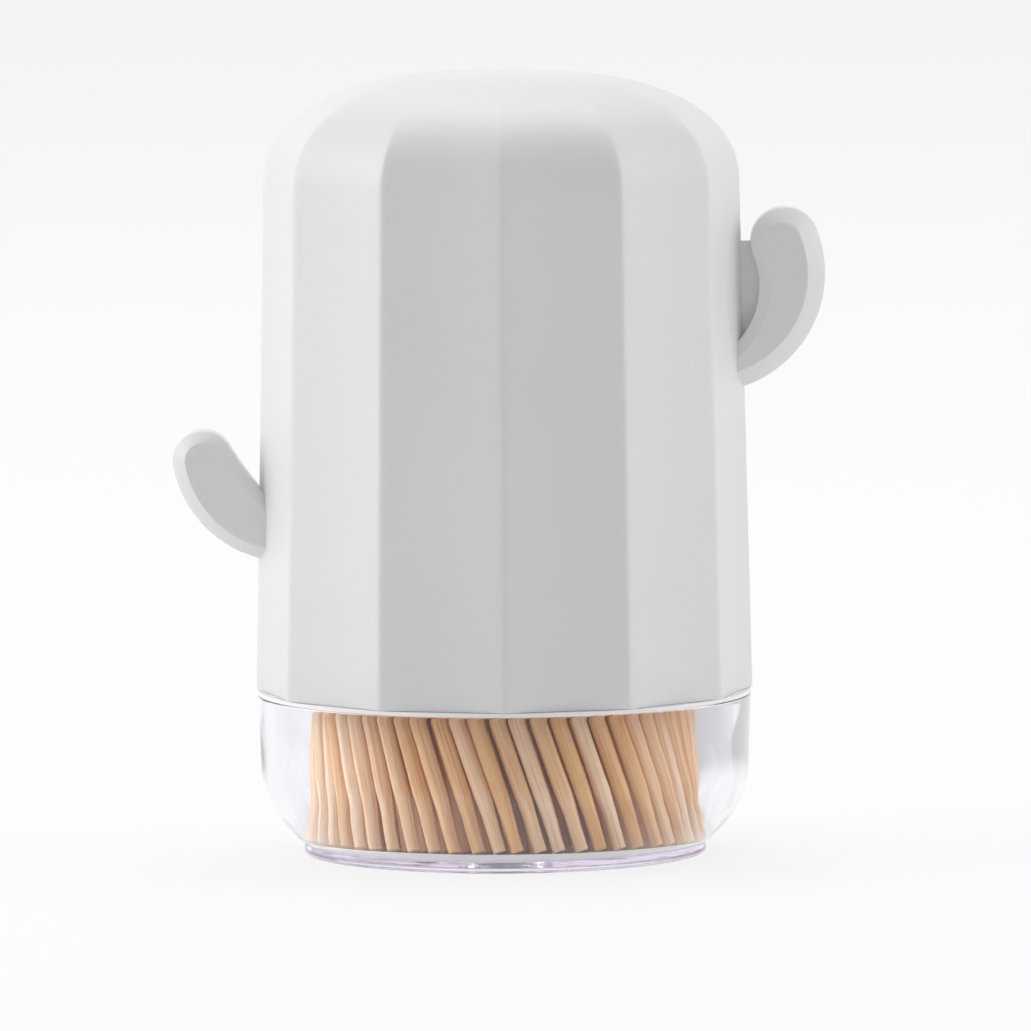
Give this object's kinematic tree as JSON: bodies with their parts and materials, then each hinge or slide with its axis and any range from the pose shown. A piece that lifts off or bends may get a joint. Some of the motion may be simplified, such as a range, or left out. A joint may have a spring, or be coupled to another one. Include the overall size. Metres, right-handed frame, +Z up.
{
  "type": "toothpick dispenser",
  "caption": "Round toothpick dispenser with a clear bowl, a faceted domed cap with two bent side arms that lifts off, and a spring-raised tray inside.",
  "frame": {"origin": "on the axis of the bowl, in the plane that the foot ring rests on", "axes": "+Z up along the axis of bowl and cap; +X towards the side of the upper arm; a ridge of the cap faces -Y, the front"},
  "size_m": [0.0787, 0.0598, 0.0942],
  "materials": {
    "cap": "off-white moulded polypropylene, semi-matte",
    "arm": "off-white moulded polypropylene, semi-matte",
    "bowl": "clear moulded polystyrene, glossy",
    "neck": "white moulded plastic, glossy",
    "liner": "white moulded plastic",
    "seal": "translucent white silicone",
    "post": "natural acetal",
    "steel": "plated steel",
    "riser": "white moulded plastic, glossy",
    "wood": "turned birch"
  },
  "bodies": {
    "base": {"bowl": "bowl", "neck_ring": "neck", "guide_post": "post", "post_washer": "steel", "post_screw": "steel", "lift_spring": "steel"},
    "seal": {"seal_ring": "seal"},
    "cap": {"cap_shell": "cap", "left_arm": "arm", "right_arm": "arm", "arm_clips": "liner", "cap_collar": "liner", "cap_stem": "liner", "stem_pad": "seal"},
    "riser": {"riser_tray": "riser", "riser_tube": "riser", "riser_bush": "post", "tube_knob": "riser", "toothpicks_outer": "wood", "toothpicks_middle": "wood", "toothpicks_inner": "wood"}
  },
  "joints": [
    {"name": "cap_lift", "type": "slide", "parent": "base", "child": "seal", "axis": [0, 0, 1], "range_m": [0, 0.08]},
    {"name": "cap_turn", "type": "hinge", "parent": "seal", "child": "cap", "pos_m": [0, 0, 0.02], "axis": [0, 0, 1], "continuous": true},
    {"name": "riser_rise", "type": "slide", "parent": "base", "child": "riser", "axis": [0, 0, 1], "range_m": [0, 0.018], "deforming": ["lift_spring"]}
  ],
  "couplings": [
    {"joint": "riser_rise", "follows": "cap_lift", "ratio": 0.2249}
  ]
}
